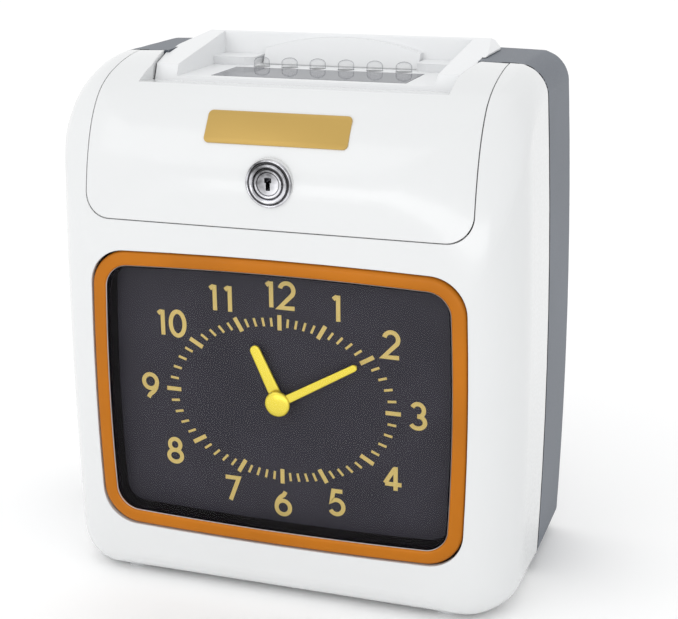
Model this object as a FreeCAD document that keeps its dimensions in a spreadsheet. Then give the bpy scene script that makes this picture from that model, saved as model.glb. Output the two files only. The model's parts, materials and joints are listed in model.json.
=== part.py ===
import FreeCAD, Part
import math
import os
import Sketcher
from FreeCAD import Rotation, Vector

# Punch time clock.  +Z up, front towards -Y, origin on the table under the middle of the bounding box.
# Depths in the sheet are measured back from the flat front face, heights from the table.

DIMENSIONS = {
    # case
    "front_plane": -64.8, "case_depth": 132.0, "half_width": 124.4, "case_low": 2.6, "case_top": 275.5,
    "side_bulge_radius": 2700.0, "bulge_height": 107.0, "roof_crown": 2.0, "wall": 2.6,
    "seam_depth": 72.0, "seam_gap": 0.5, "plan_corner": 29.0, "chin_radius": 12.0, "brow_radius": 57.0,
    "crown_radius": 120.0, "crown_depth": 78.0, "top_corner": 15.0, "brow_corner": 48.0, "brow_blend": 3.2,
    "bottom_corner": 11.0, "chin_corner": 17.0, "chin_blend": 0.6, "back_round": 2.5,
    # hinged top cover and the recess in it for the card guide
    "cover_half": 100.5, "cover_low": 198.6, "cover_corner": 13.0, "ledge_depth": 27.0,
    "ledge_height": 263.8, "ledge_drop": 1.2, "notch_half": 81.0, "notch_flare": 5.4, "guide_front": 45.2,
    # card guide
    "guide_floor": 264.4, "guide_top": 280.2, "guide_back": 124.5, "guide_gap": 0.8,
    "cheek_thick": 9.5, "trough_back": 113.0, "slot_half": 44.0, "slot_front": 101.0, "slot_back": 106.6,
    "window_half": 52.3, "window_front": 54.7, "window_back": 88.6, "button_row": 94.0,
    "button_pitch": 15.9, "button_radius": 4.25,
    # clock
    "dial_height": 107.0, "dial_depth": 10.4, "bezel_width": 199.4, "bezel_height": 153.0,
    "bezel_corner": 19.0, "bezel_bow": 2.0, "bezel_ring": 7.4, "bezel_lip": 1.2, "liner_inset": 8.9,
    "pane_thick": 1.8, "dial_hole": 4.0,
    "hour_hand": 32.0, "minute_hand": 48.5, "hour_angle": 335.0, "minute_angle": 60.0,
    "minute_arbor": 2.0, "running_gap": 0.05, "gear_module": 0.5, "layshaft": 12.5,
    # lock
    "lock_height": 221.9, "lock_flange": 11.3, "lock_barrel": 9.0, "lock_plug": 5.5, "lock_proud": 2.4,
    # chassis, printer and card transport
    "sheet": 1.5, "frame_half": 93.5, "guide_rod": 3.0, "rod_depth": 72.0, "rod_low": 140.0,
    "rod_high": 165.0, "feed_depth": 97.6, "feed_height": 215.0, "feed_radius": 6.0, "pinch_depth": 110.4,
    "pinch_radius": 6.5, "feed_shaft": 2.0,
    "pinch_shaft": 1.5, "feed_module": 0.8, "belt_depth": 56.0, "belt_height": 152.0, "belt_half": 75.0,
    "pulley_radius": 6.0,
    # feet and case screws
    "foot_radius": 6.5, "foot_half": 88.0, "foot_front": 17.5, "foot_back": 116.0, "foot_top": 4.0,
    "screw_half": 106.2, "screw_low": 30.0, "screw_high": 244.0,
}

doc = FreeCAD.newDocument("PunchTimeClock")
sheet = doc.addObject("Spreadsheet::Sheet", "Dims")
for row, (alias, number) in enumerate(DIMENSIONS.items(), start=1):
    sheet.set("A%d" % row, alias.replace("_", " "))
    sheet.set("B%d" % row, str(number))
    sheet.setAlias("B%d" % row, alias)
doc.recompute()

NODES = []
FAR = 400.0
NUDGE = 0.01


def cell(alias):
    return float(sheet.get(alias))


def expr(text):
    """Writes an expression on sheet aliases in the form FreeCAD wants, Dims.alias."""
    words = str(text)
    for alias in sorted(DIMENSIONS, key=len, reverse=True):
        words = words.replace(alias, "\x00" + str(list(DIMENSIONS).index(alias)) + "\x01")
    for index, alias in enumerate(DIMENSIONS):
        words = words.replace("\x00" + str(index) + "\x01", "Dims." + alias)
    return words


def bind(item, **sizes):
    for name, text in sizes.items():
        item.setExpression(name, expr(text))
    return item


def place(item, x="0", y="0", z="0"):
    for axis, text in zip("xyz", (x, y, z)):
        item.setExpression("Placement.Base." + axis, expr(text))
    return item


def node(item, label, x="0", y="0", z="0"):
    """Names a finished piece and moves it from front-face depths to the row's frame."""
    item.Label = label
    NODES.append(item)
    return place(item, x, "front_plane + (%s)" % y, z)


# ---------------------------------------------------------------- building blocks

def box(x_size, y_size, z_size, x="0", y="0", z="0"):
    """A block centred on x, starting at depth y and height z."""
    item = doc.addObject("Part::Box", "Block")
    bind(item, Length=x_size, Width=y_size, Height=z_size)
    return place(item, "(%s) - (%s) / 2" % (x, x_size), y, z)


TURN = {"x": Rotation(Vector(0, 1, 0), 90), "y": Rotation(Vector(1, 0, 0), -90), "z": Rotation()}


def rod(radius, length, axis, x="0", y="0", z="0"):
    """A cylinder that starts at x, y, z and runs towards +axis."""
    item = doc.addObject("Part::Cylinder", "Rod")
    bind(item, Radius=radius, Height=length)
    item.Placement = FreeCAD.Placement(Vector(), TURN[axis])
    return place(item, x, y, z)


def join(*pieces):
    item = doc.addObject("Part::MultiFuse", "Join")
    item.Shapes = list(pieces)
    return item


def cut(base, *tools):
    item = doc.addObject("Part::Cut", "Cut")
    item.Base = base
    item.Tool = tools[0] if len(tools) == 1 else join(*tools)
    return item


def common(*pieces):
    item = doc.addObject("Part::MultiCommon", "Common")
    item.Shapes = list(pieces)
    return item


def group(*pieces):
    item = doc.addObject("Part::Compound", "Group")
    item.Links = list(pieces)
    return item


def rounded(base, radius, wanted):
    """Fillets the edges of base that wanted(edge) picks."""
    base.recompute(True)
    item = doc.addObject("Part::Fillet", "Rounded")
    item.Base = base
    item.Edges = [(i, radius, radius) for i, edge in enumerate(base.Shape.Edges, start=1) if wanted(edge)]
    return item


def runs_along(edge, axis):
    if edge.Curve.TypeId != "Part::GeomLine":
        return False
    return abs(getattr(edge.tangentAt(edge.FirstParameter), axis)) > 0.999


def prism(points, axis, start, length):
    """A straight prism on a polygon: (y, z) points run along x, (x, z) along y, (x, y) along z."""
    corner = {"x": lambda a, b: Vector(0, a, b), "y": lambda a, b: Vector(a, 0, b),
              "z": lambda a, b: Vector(a, b, 0)}[axis]
    outline = doc.addObject("Part::Polygon", "Outline")
    outline.Nodes = [corner(a, b) for a, b in points]
    outline.Close = True
    item = doc.addObject("Part::Extrusion", "Prism")
    item.Base = outline
    item.DirMode = "Custom"
    item.Dir = {"x": Vector(1, 0, 0), "y": Vector(0, 1, 0), "z": Vector(0, 0, 1)}[axis]
    item.Solid = True
    bind(item, LengthFwd=length)
    return place(item, **{axis: start})


def solid(shape, name):
    item = doc.addObject("Part::Feature", name)
    item.Shape = shape
    return item


PLANES = {"x": "YZ_Plane", "y": "XZ_Plane", "z": "XY_Plane"}


def body(label, x="0", y="0", z="0"):
    return node(doc.addObject("PartDesign::Body", "Body"), label, x, y, z)


def sketch(owner, axis):
    item = owner.newObject("Sketcher::SketchObject", "Sketch")
    plane = [f for f in owner.Origin.OriginFeatures if f.Role == PLANES[axis]][0]
    item.AttachmentSupport = [(plane, "")]
    item.MapMode = "FlatFace"
    return item


def rectangle(item, width, height, x="0", y="0"):
    """A rectangle centred at x, y in the sketch, its size and place bound to the sheet."""
    first = item.GeometryCount
    w, h = 10.0, 5.0
    corners = [Vector(-w, -h, 0), Vector(w, -h, 0), Vector(w, h, 0), Vector(-w, h, 0)]
    for i in range(4):
        item.addGeometry(Part.LineSegment(corners[i], corners[(i + 1) % 4]), False)
    for i in range(4):
        item.addConstraint(Sketcher.Constraint("Coincident", first + i, 2, first + (i + 1) % 4, 1))
    for i, kind in enumerate(("Horizontal", "Vertical", "Horizontal", "Vertical")):
        item.addConstraint(Sketcher.Constraint(kind, first + i))
    for kind, start, text in (("DistanceX", -w, "(%s) - (%s) / 2" % (x, width)),
                              ("DistanceY", -h, "(%s) - (%s) / 2" % (y, height))):
        index = item.addConstraint(Sketcher.Constraint(kind, -1, 1, first, 1, start))
        item.setExpression("Constraints[%d]" % index, expr(text))
    for kind, line, size, text in (("DistanceX", 0, 2 * w, width), ("DistanceY", 1, 2 * h, height)):
        index = item.addConstraint(Sketcher.Constraint(kind, first + line, 1, first + line, 2, size))
        item.setExpression("Constraints[%d]" % index, expr(text))


def circle(item, radius, x="0", y="0"):
    first = item.GeometryCount
    item.addGeometry(Part.Circle(Vector(0, 0, 0), Vector(0, 0, 1), 5.0), False)
    index = item.addConstraint(Sketcher.Constraint("Radius", first, 5.0))
    item.setExpression("Constraints[%d]" % index, expr(radius))
    for kind, text in (("DistanceX", x), ("DistanceY", y)):
        index = item.addConstraint(Sketcher.Constraint(kind, -1, 1, first, 3, 0.0))
        item.setExpression("Constraints[%d]" % index, expr(text))


def pad(owner, item, length):
    """Pads a sketch; on the XZ plane the pad is turned so that it runs towards +Y."""
    feature = owner.newObject("PartDesign::Pad", "Pad")
    feature.Profile = item
    feature.Reversed = "XZ" in item.AttachmentSupport[0][0].Role
    bind(feature, Length=length)
    return feature


def turned(label, profile, axis, x="0", y="0", z="0"):
    """A piece turned about an axis through x, y, z: profile holds (radius, distance along axis) points."""
    owner = body(label, x, y, z)
    owner.Placement = FreeCAD.Placement(owner.Placement.Base, TURN[axis])
    place(owner, x, "front_plane + (%s)" % y, z)
    item = sketch(owner, "y")
    points = [Vector(r, along, 0) for r, along in profile]
    for i, point in enumerate(points):
        item.addGeometry(Part.LineSegment(point, points[(i + 1) % len(points)]), False)
    for i in range(len(points)):
        item.addConstraint(Sketcher.Constraint("Coincident", i, 2, (i + 1) % len(points), 1))
        item.addConstraint(Sketcher.Constraint("Block", i))
    feature = owner.newObject("PartDesign::Revolution", "Turned")
    feature.Profile = item
    feature.ReferenceAxis = (item, ["V_Axis"])
    feature.Angle = 360.0
    return owner


def gear_shape(module, teeth, width, bore, tooth_at=0.0, backlash=0.12):
    """An involute spur gear about +Y with a tooth centred on tooth_at degrees from +X towards +Z."""
    pitch = module * teeth / 2
    base = pitch * math.cos(math.radians(20))
    tip = pitch + 0.95 * module
    root = pitch - 1.25 * module
    half = math.pi / (2 * teeth) * (1 - backlash) + math.tan(math.radians(20)) - math.radians(20)
    start = max(base, root + 0.02 * module)

    def flank(radius, side, turn):
        roll = math.sqrt(max(radius * radius / (base * base) - 1, 0))
        angle = turn + side * (half - (roll - math.atan(roll)))
        return Vector(radius * math.cos(angle), 0, radius * math.sin(angle))

    disc = Part.makeCylinder(root, width, Vector(), Vector(0, 1, 0))
    radii = [start + (tip - start) * i / 5 for i in range(6)]
    parts = []
    for i in range(teeth):
        turn = math.radians(tooth_at) + 2 * math.pi * i / teeth
        low = [flank(r, -1, turn) for r in radii]
        high = [flank(r, 1, turn) for r in radii]
        foot = [Vector(root * 0.9 * math.cos(turn + s * half), 0, root * 0.9 * math.sin(turn + s * half))
                for s in (-1, 1)]
        outline = [foot[0]] + low + high[::-1] + [foot[1], foot[0]]
        parts.append(Part.Face(Part.makePolygon(outline)).extrude(Vector(0, width, 0)))
    wheel = disc.fuse(parts).removeSplitter()
    if bore:
        wheel = wheel.cut(Part.makeCylinder(bore, width + 2, Vector(0, -1, 0), Vector(0, 1, 0)))
    return wheel


# ---------------------------------------------------------------- freeform case envelope

def inset_at(depth, radius, inset):
    """How far a quarter-round of the given radius, offset inwards, stands in from its flat side."""
    if depth >= radius:
        return inset
    return radius - math.sqrt(max((radius - inset) ** 2 - (radius - depth) ** 2, 0.0))


def roof_at(depth, inset=0.0):
    """Height of the roof: a tight arc over the brow runs into a slack one up to the crown."""
    brow, crown = cell("brow_radius"), cell("crown_radius")
    reach = cell("crown_depth")
    lean = (reach - brow) / (crown - brow)
    crown_centre = cell("case_top") - crown
    if depth >= reach:
        return cell("case_top") - inset
    if depth >= brow - (brow - inset) * lean:
        return crown_centre + math.sqrt((crown - inset) ** 2 - (reach - depth) ** 2)
    brow_centre = crown_centre + math.sqrt((crown - brow) ** 2 - (reach - brow) ** 2)
    return brow_centre + math.sqrt(max((brow - inset) ** 2 - (brow - depth) ** 2, 0.0))


def corner_radius(depth, where, front):
    """Corners of the outline are tight at the seam and grow rounder towards the front."""
    share = max(1 - depth / cell("seam_depth"), 0.0) ** cell(front + "_blend")
    return cell(where + "_corner") + (cell(front + "_corner") - cell(where + "_corner")) * share


def section(depth, inset=0.0):
    """The case's outline across at one depth: four corners and four sides, each one smooth edge."""
    side = inset_at(depth, cell("plan_corner"), inset)
    half = cell("half_width") - side
    low = cell("case_low") + inset_at(depth, cell("chin_radius"), inset)
    high = roof_at(depth, inset)
    upper = corner_radius(depth, "top", "brow") - inset
    lower = corner_radius(depth, "bottom", "chin") - inset

    def bent(x, z):
        lean = (z - cell("bulge_height")) ** 2 / (2 * cell("side_bulge_radius"))
        sag = cell("roof_crown") * (x / half) ** 2 * max((z - low) / (high - low), 0) ** 2
        return Vector(x - lean * x / half, depth, z - sag)

    corners = ((half - upper, high - upper, upper), (-half + upper, high - upper, upper),
               (-half + lower, low + lower, lower), (half - lower, low + lower, lower))
    edges = []
    for i, (x, z, radius) in enumerate(corners):
        turns = [math.radians(90 * i + 15 * step) for step in range(7)]
        arc = [(x + radius * math.cos(t), z + radius * math.sin(t)) for t in turns]
        next_x, next_z, next_radius = corners[(i + 1) % 4]
        goal = (next_x + next_radius * math.cos(turns[-1]), next_z + next_radius * math.sin(turns[-1]))
        line = [(arc[-1][0] + (goal[0] - arc[-1][0]) * k / 6, arc[-1][1] + (goal[1] - arc[-1][1]) * k / 6)
                for k in range(7)]
        heads = [(-math.sin(t), math.cos(t)) for t in (turns[0], turns[-1])]
        for points, (start, stop) in ((arc, heads), (line, (heads[1], heads[1]))):
            tangents = [(bent(p[0] + h[0] * NUDGE, p[1] + h[1] * NUDGE) - bent(*p)).normalize()
                        for p, h in ((points[0], start), (points[-1], stop))]
            curve = Part.BSplineCurve()
            curve.interpolate(Points=[bent(*p) for p in points], InitialTangent=tangents[0],
                              FinalTangent=tangents[1], Parameters=[k / 6 for k in range(7)])
            edges.append(curve.toShape())
    return Part.Wire(edges)


def front_envelope(inset, back):
    """The rounded front of the case as one solid, offset inwards by inset and ending at depth back."""
    plan = cell("plan_corner")
    depths = [inset + (plan - inset) * (1 - math.cos(math.radians(turn))) for turn in range(0, 91, 10)]
    depths += [plan + (back - plan) * step / 5 for step in range(1, 6)]
    return Part.makeLoft([section(depth, inset) for depth in depths], True, False)


def rear_envelope(inset, back):
    """The straight rear half: the outline at the seam carried back."""
    seam = cell("seam_depth")
    return Part.Face(section(seam, inset)).extrude(Vector(0, back - seam, 0))


# ---------------------------------------------------------------- case shells

def cover_zone(gap, back):
    """The block that the top cover is cut from: straight sides, rounded lower corners."""
    width = "2 * cover_half + 2 * (%s)" % gap
    block = box(width, back + " + 5", "100", y="-5", z="cover_low - (%s)" % gap)
    return rounded(block, cell("cover_corner"),
                   lambda e: runs_along(e, "y") and e.BoundBox.ZMax < cell("cover_low") + 5)


def notch_plan(grow, front, back):
    """Plan outline of the recess for the card guide, widening towards the back."""
    half, flare = cell("notch_half") + grow, cell("notch_flare")
    knee, seam = cell("guide_front"), cell("seam_depth")
    slope = flare / (seam - knee)
    wide = half + slope * (back - knee)
    return [(-half, front), (half, front), (half, knee), (wide, back), (-wide, back), (-half, knee)]


def bosses(radius, start, length):
    """Four round posts in the corners of the case, for the screws that hold it together."""
    return [rod(radius, length, "y", x="%d * screw_half" % side, y=start, z=height)
            for side in (-1, 1) for height in ("screw_low", "screw_high")]


def boss_ribs(start, length):
    """A web from each screw post to the side wall beside it."""
    return [box("15", length, "2.4", x="%d * (screw_half + 7.5 + %s)" % (side, reach), y=start, z=height)
            for side in (-1, 1) for height, reach in (("screw_low - 1.2", 2.6), ("screw_high - 1.2", 0.0))]


def foot_recesses(depth):
    """Shallow round seats for the feet, not going through the floor."""
    return [rod("foot_radius + 0.05", "10", "z", x="%d * foot_half" % side, y=depth, z="foot_top - 9.95")
            for side in (-1, 1)]


def front_shell():
    """The white front half of the case, with its screw posts, before the cover is parted from it."""
    seam = cell("seam_depth")
    outer = solid(front_envelope(0.0, seam), "FrontOuter")
    inner = solid(front_envelope(cell("wall"), seam + 0.5), "FrontInner")
    posts = bosses("4.5", "32", "seam_depth - 30") + boss_ribs("32", "seam_depth - 30")
    return cut(outer, cut(inner, *posts))


def make_front_body(shell):
    opening = framed(-0.4, 18, -6)
    parting = cover_zone("seam_gap / 2", "seam_depth")
    back_off = box("300", "10", "300", y="seam_depth - seam_gap / 2")
    seats = foot_recesses("foot_front")
    return node(cut(shell, parting, opening, back_off, *(bosses("1.6", "40", "40") + seats)),
                "front_body")


def make_latch_sill():
    """A strip behind the cover's lower edge, with the tab that the lock's cam turns behind."""
    lip = cut(box("2 * cover_half + 4", "1.6", "10", y="5.2", z="cover_low - 6"),
              rod("lock_barrel + 8", "20", "y", z="lock_height"))
    return node(join(lip, box("24", "17.4", "1.8", y="5.2", z="cover_low - 6"),
                     box("24", "1.8", "6", y="21.4", z="cover_low - 8")), "latch_sill")


def make_top_cover(shell):
    zone = cover_zone("-seam_gap / 2", "seam_depth - seam_gap / 2")
    panel = common(shell, zone)
    ledge, drop = cell("ledge_height"), cell("ledge_drop")
    front, knee, seam = cell("ledge_depth"), cell("guide_front"), cell("seam_depth")
    skin = solid(front_envelope(1.2, seam + 0.5), "CoverSkin")
    well_outer = common(prism(notch_plan(2.2, front - 2.4, seam - 0.25), "z", "ledge_height - 3.8", "40"), skin)
    floor_line = [(front, ledge), (knee, ledge - drop), (seam + 5, ledge - drop), (seam + 5, ledge + 40),
                  (front, ledge + 40)]
    well_inner = common(prism(notch_plan(0.0, front, seam + 5), "z", "ledge_height - 3.8", "60"),
                        prism(floor_line, "x", "-110", "220"))
    guide_room = prism(notch_plan(0.0, knee - 0.7, seam + 5), "z", "200", "100")
    under = [(front - 3, ledge - 9), (front - 3, ledge - 2.2), (knee, ledge - drop - 2.2),
             (seam + 5, ledge - drop - 2.2), (seam + 5, ledge - 9)]
    lean = [(seam + 2, cell("case_top") + 1.0), (seam - 0.25, cell("case_top") + 1.0),
            (seam - 0.25, cell("case_top") - 0.4), (seam - 2.8, cell("case_top") - 3.4),
            (seam - 2.8, 240.0), (seam + 2, 240.0)]
    well = cut(well_outer, prism(under, "x", "-110", "220"))
    cover = cut(join(panel, well), well_inner, guide_room, prism(lean, "x", "-110", "220"),
                rod("lock_barrel + 0.15", "20", "y", y="-5", z="lock_height"))
    seat = cut(rod("lock_flange + 1", "5", "y", y="-0.05", z="lock_height"),
               rod("lock_barrel + 0.15", "20", "y", y="-5", z="lock_height"),
               solid(front_envelope(-0.01, seam), "SeatBack"))
    return node(group(cover, seat), "top_cover")


def make_rear_case():
    seam, depth, wall = cell("seam_depth"), cell("case_depth"), cell("wall")
    whole = rear_envelope(0.0, depth)
    rim = [e for e in whole.Edges if e.BoundBox.YMin > depth - 0.01]
    outer = solid(whole.makeFillet(cell("back_round"), rim), "RearOuter")
    inner = solid(rear_envelope(wall, depth - wall), "RearInner")
    posts = (bosses("5", "seam_depth - 1", "case_depth - seam_depth") +
             boss_ribs("seam_depth - 1", "case_depth - seam_depth"))
    heads = bosses("3.4", "case_depth - 3", "5")
    guide = box("2 * (notch_half + notch_flare - 2)", "46.6", "60", y="seam_depth - 1", z="guide_floor - 8")
    front_off = box("300", "seam_gap / 2 + 1", "300", y="seam_depth - 1")
    inlet = box("20.4", "30", "12.4", x="78", y="110", z="21.8")
    case = cut(outer, cut(inner, *posts), guide, front_off, inlet,
               *(bosses("1.6", "60", "80") + heads + foot_recesses("foot_back")))
    return node(case, "rear_case")


# ---------------------------------------------------------------- card guide on the roof

def make_card_guide():
    top, floor, back = cell("guide_top"), cell("guide_floor"), cell("guide_back")
    roof, front, seam = cell("case_top"), cell("guide_front"), cell("seam_depth")
    half, flare = cell("notch_half") - cell("guide_gap"), cell("notch_flare")
    wide = half + flare
    base = floor - 4.9
    plan = [(-half, front), (half, front), (wide, seam), (wide, back - 6), (wide - 6, back),
            (-wide + 6, back), (-wide, back - 6), (-wide, seam)]
    side = [(front, base), (front, floor - 3.4), (front + 7, floor + 5.6), (back - 4.5, top), (back, top - 2.2),
            (back, base)]
    block = common(prism(plan, "z", "0", "300"), prism(side, "x", "-100", "200"))
    slope = [(wide + 0.3, roof - 0.2), (half - 0.6, top + 0.2), (half - 0.6, top + 9), (wide + 9, top + 9),
             (wide + 9, roof - 0.2)]
    drafts = [prism([(sign * a, b) for a, b in slope], "y", "0", "200") for sign in (-1, 1)]
    inner = half - cell("cheek_thick")
    trough = common(prism([(-inner + 2.2, floor), (inner - 2.2, floor), (inner + 0.6, top + 2),
                           (-inner - 0.6, top + 2)], "y", "30", "100"),
                    prism([(30, floor), (cell("trough_back"), floor), (cell("trough_back") + 5.5, top + 2),
                           (30, top + 2)], "x", "-100", "200"))
    under = [box("30", "60", "20", x="%d * (notch_half + notch_flare + 12.4)" % sign, y="seam_depth",
                 z="case_top - 20.85") for sign in (-1, 1)]
    behind = box("200", "20", "20", y="seam_depth + 45.2", z="case_top - 19.9")
    hollow = box("2 * notch_half - 5", "seam_depth - guide_front + 43", "20", y="guide_front + 2.4",
                 z="guide_floor - 22.4")
    frame = rounded(cut(block, trough, *(drafts + under + [behind, hollow])), 1.2,
                    lambda e: e.BoundBox.ZMin > roof + 2 and e.Length > 30)
    arch_rise, shoulder = 6.6, cell("guide_top") - 8.2
    slot = cell("slot_half")
    arc = Part.Arc(Vector(-slot, 0, shoulder), Vector(0, 0, shoulder + arch_rise), Vector(slot, 0, shoulder))
    lines = [Vector(slot, 0, shoulder), Vector(slot, 0, floor - 1), Vector(-slot, 0, floor - 1),
             Vector(-slot, 0, shoulder)]
    face = Part.Face(Part.Wire([arc.toShape()] + Part.makePolygon(lines).Edges))
    arch = solid(face.extrude(Vector(0, FAR, 0)), "Arch")
    ledge = seam + 45.2
    ramp = prism([(cell("slot_back"), floor - 2), (cell("slot_back"), floor), (cell("slot_back") + 9, top),
                  (back - 5, top), (back - 5, roof + 0.1), (ledge, roof + 0.1), (ledge, floor - 2)],
                 "x", "-80", "160")
    tongue = common(arch, ramp)
    blocks = [prism([(sign * 45.5, 98.6), (sign * 51, 96.2), (sign * (inner - 1), 96.2),
                     (sign * (inner - 1), 116),
                     (sign * 45.5, 116)], "z", "guide_floor - 1", "5.2") for sign in (-1, 1)]
    slot_cut = box("2 * slot_half", "slot_back - slot_front", "60", y="slot_front", z="guide_floor - 30")
    window = box("2 * window_half + 0.2", "window_back - window_front + 0.2", "20", y="window_front - 0.1",
                 z="guide_floor - 10")
    holes = [rod("button_radius + 0.25", "20", "z", x=x, y="button_row", z="guide_floor - 10")
             for x in button_places()]
    whole = cut(join(frame, tongue, *blocks), slot_cut, window, *holes)
    return node(whole, "card_guide")


def button_places():
    return ["%s * button_pitch" % (i - 2.5) for i in range(6)]


def make_buttons():
    """Six clear push buttons: a flange under the floor keeps each one in, a dome stands above it."""
    radius = cell("button_radius")
    dome = [(radius * math.cos(a), 2.6 + 2.6 * math.sin(a)) for a in
            [math.radians(d) for d in range(0, 90, 15)]]
    profile = [(0, -6.4), (2.2, -6.4), (2.2, -4.3), (5.1, -4.3), (5.1, -3.0), (radius, -3.0)]
    profile += dome + [(0, 5.2)]
    for i, x in enumerate(button_places(), start=1):
        turned("column_button_%d" % i, profile, "z", x, "button_row", "guide_floor")


def make_display():
    pane = body("display_window", y="(window_front + window_back) / 2", z="guide_floor - 2.2")
    outline = sketch(pane, "z")
    rectangle(outline, "2 * window_half", "window_back - window_front")
    pad(pane, outline, "2.3")
    module = join(box("110", "33", "5", y="window_front", z="guide_floor - 9.6"),
                  box("100", "30", "1.6", y="window_front + 3", z="guide_floor - 4.6"))
    node(module, "display_module")
    board = box("112", "8.4", "sheet", y="button_row - 4.2", z="guide_floor - 12.4")
    switches = [join(box("6", "6", "1.9", x=x, y="button_row - 3", z="guide_floor - 10.9"),
                     rod("1.6", "0.9", "z", x=x, y="button_row", z="guide_floor - 9.0"))
                for x in button_places()]
    node(group(board, *switches), "button_board")


# ---------------------------------------------------------------- clock face

def framed(inset, thickness, depth):
    """A slab with the bezel's outline, its four sides slightly bowed, offset inwards by inset."""
    half, tall, bow = cell("bezel_width") / 2 - inset, cell("bezel_height") / 2 - inset, cell("bezel_bow")
    middle = cell("dial_height")
    ends = [(side * (half - bow), rise * (tall - bow)) for side, rise in ((1, -1), (1, 1), (-1, 1), (-1, -1))]
    tops = [(half, 0), (0, tall), (-half, 0), (0, -tall)]
    sides = []
    for i, top in enumerate(tops):
        spots = [Vector(x, depth, middle + z) for x, z in (ends[i], top, ends[(i + 1) % 4])]
        sides.append(Part.Arc(*spots).toShape())
    slab = solid(Part.Face(Part.Wire(sides)).extrude(Vector(0, thickness, 0)), "Slab")
    return rounded(slab, cell("bezel_corner") - inset, lambda e: runs_along(e, "y"))


def make_clock_face():
    ring, lip, pane = cell("bezel_ring"), cell("bezel_lip"), cell("pane_thick")
    dial_depth = cell("dial_depth")
    rebate = ring - 0.9
    node(cut(framed(0, 9.4, 0), framed(ring, 20, -5), framed(rebate, 20, lip)), "bezel")
    node(group(framed(rebate + 0.2, pane, lip + 0.05)), "clock_pane")
    front = lip + pane + 0.1
    node(cut(framed(rebate + 0.2, dial_depth - 0.05 - front, front), framed(cell("liner_inset"), 20, -5)),
         "dial_liner")
    dial = body("dial", y="dial_depth", z="dial_height")
    outline = sketch(dial, "y")
    rectangle(outline, "bezel_width - 6", "bezel_height - 6")
    circle(outline, "dial_hole")
    pad(dial, outline, "2")


def baton(label, tip, half_base, half_tip, thick, depth, bore, angle, tail):
    """A tapered hand with a round boss and a rounded tip, pointing at angle degrees past twelve."""
    head = Part.makeCylinder(half_tip, thick, Vector(0, 0, tip - half_tip), Vector(0, 1, 0))
    boss = Part.makeCylinder(5.4, thick, Vector(), Vector(0, 1, 0))
    corners = [(-half_base, -tail), (half_base, -tail), (half_tip, tip - half_tip), (-half_tip, tip - half_tip),
               (-half_base, -tail)]
    blade = Part.Face(Part.makePolygon([Vector(a, 0, b) for a, b in corners])).extrude(Vector(0, thick, 0))
    hole = Part.makeCylinder(bore, FAR, Vector(0, -5, 0), Vector(0, 1, 0))
    shape = boss.fuse([head, blade]).removeSplitter().cut(hole)
    shape.rotate(Vector(), Vector(0, 1, 0), angle)
    return node(solid(shape, "Hand"), label, y=depth, z="dial_height")


def make_hands():
    arbor, gap = cell("minute_arbor"), cell("running_gap")
    baton("hour_hand", cell("hour_hand"), 3.3, 2.6, 1.3, "7.2", arbor + gap + 0.75, cell("hour_angle"), 3.0)
    baton("minute_hand", cell("minute_hand"), 2.3, 1.7, 1.3, "5.2", arbor, cell("minute_angle"), 3.0)
    dome = [(6.7 * math.cos(a), 1.6 * math.sin(a)) for a in [math.radians(d) for d in range(0, 90, 15)]]
    profile = [(0, 0.0)] + [(r, -h) for r, h in dome] + [(0, -1.6)]
    turned("hand_cap", [(r, d) for r, d in profile], "y", y="5.2", z="dial_height")


def wheel(label, module, teeth, width, bore, x, y, z="dial_height", tooth_at=0.0, hub=None, moulded=None):
    """A gear on a shaft along Y; hub adds (radius, start, length) lengths of tube to it."""
    shape = gear_shape(module, teeth, width, bore, tooth_at)
    for extra in moulded or []:
        shape = shape.fuse(extra)
    for radius, start, length in hub or []:
        tube = Part.makeCylinder(radius, length, Vector(0, start, 0), Vector(0, 1, 0))
        if bore:
            tube = tube.cut(Part.makeCylinder(bore, length, Vector(0, start, 0), Vector(0, 1, 0)))
        shape = shape.fuse(tube)
    return node(solid(shape.removeSplitter(), "Wheel"), label, x, y, z)


def make_movement():
    """Twelve-to-one motion work between the two hands, driven by a small stepper motor."""
    arbor, gap, module = cell("minute_arbor"), cell("running_gap"), cell("gear_module")
    fine = module * 25 / 24
    wheel("hour_wheel", module, 40, 2.0, arbor + gap, "0", "17", tooth_at=4.5,
          hub=[(arbor + gap + 0.75, -9.8, 9.8)])
    wheel("cannon_pinion", fine, 12, 2.4, 0, "0", "20.4", hub=[(arbor, -15.2, 15.2), (1.0, 2.4, 3.4)])
    pinion = gear_shape(module, 10, 3.9, 0)
    pinion.translate(Vector(0, -3.9, 0))
    wheel("minute_wheel", fine, 36, 2.0, 0, "layshaft", "20.6", tooth_at=5.0, hub=[(1.0, -5.8, 11.0)],
          moulded=[pinion])
    wheel("motor_pinion", fine, 12, 2.4, 0, "2 * layshaft", "20.4", hub=[(1.0, 2.4, 8.0)])
    plate = join(box("66", "1.5", "44", x="12", y="24.4", z="dial_height - 22"),
                 *[rod("2.5", "9.9", "y", x=x, y="14.6", z="dial_height + %d" % rise)
                   for x in ("-17", "41") for rise in (-18, 18)])
    bores = [rod("1.0 + running_gap", "20", "y", x=x, y="20", z="dial_height")
             for x in ("0", "layshaft", "2 * layshaft")]
    node(cut(plate, *bores), "movement_plate")
    node(cut(join(rod("13", "10", "y", x="2 * layshaft", y="26.1", z="dial_height"),
                  box("34", "1.2", "7", x="2 * layshaft", y="26.1", z="dial_height - 3.5")),
             rod("1.0 + running_gap", "8", "y", x="2 * layshaft", y="24", z="dial_height")), "movement_motor")


# ---------------------------------------------------------------- lock

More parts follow.
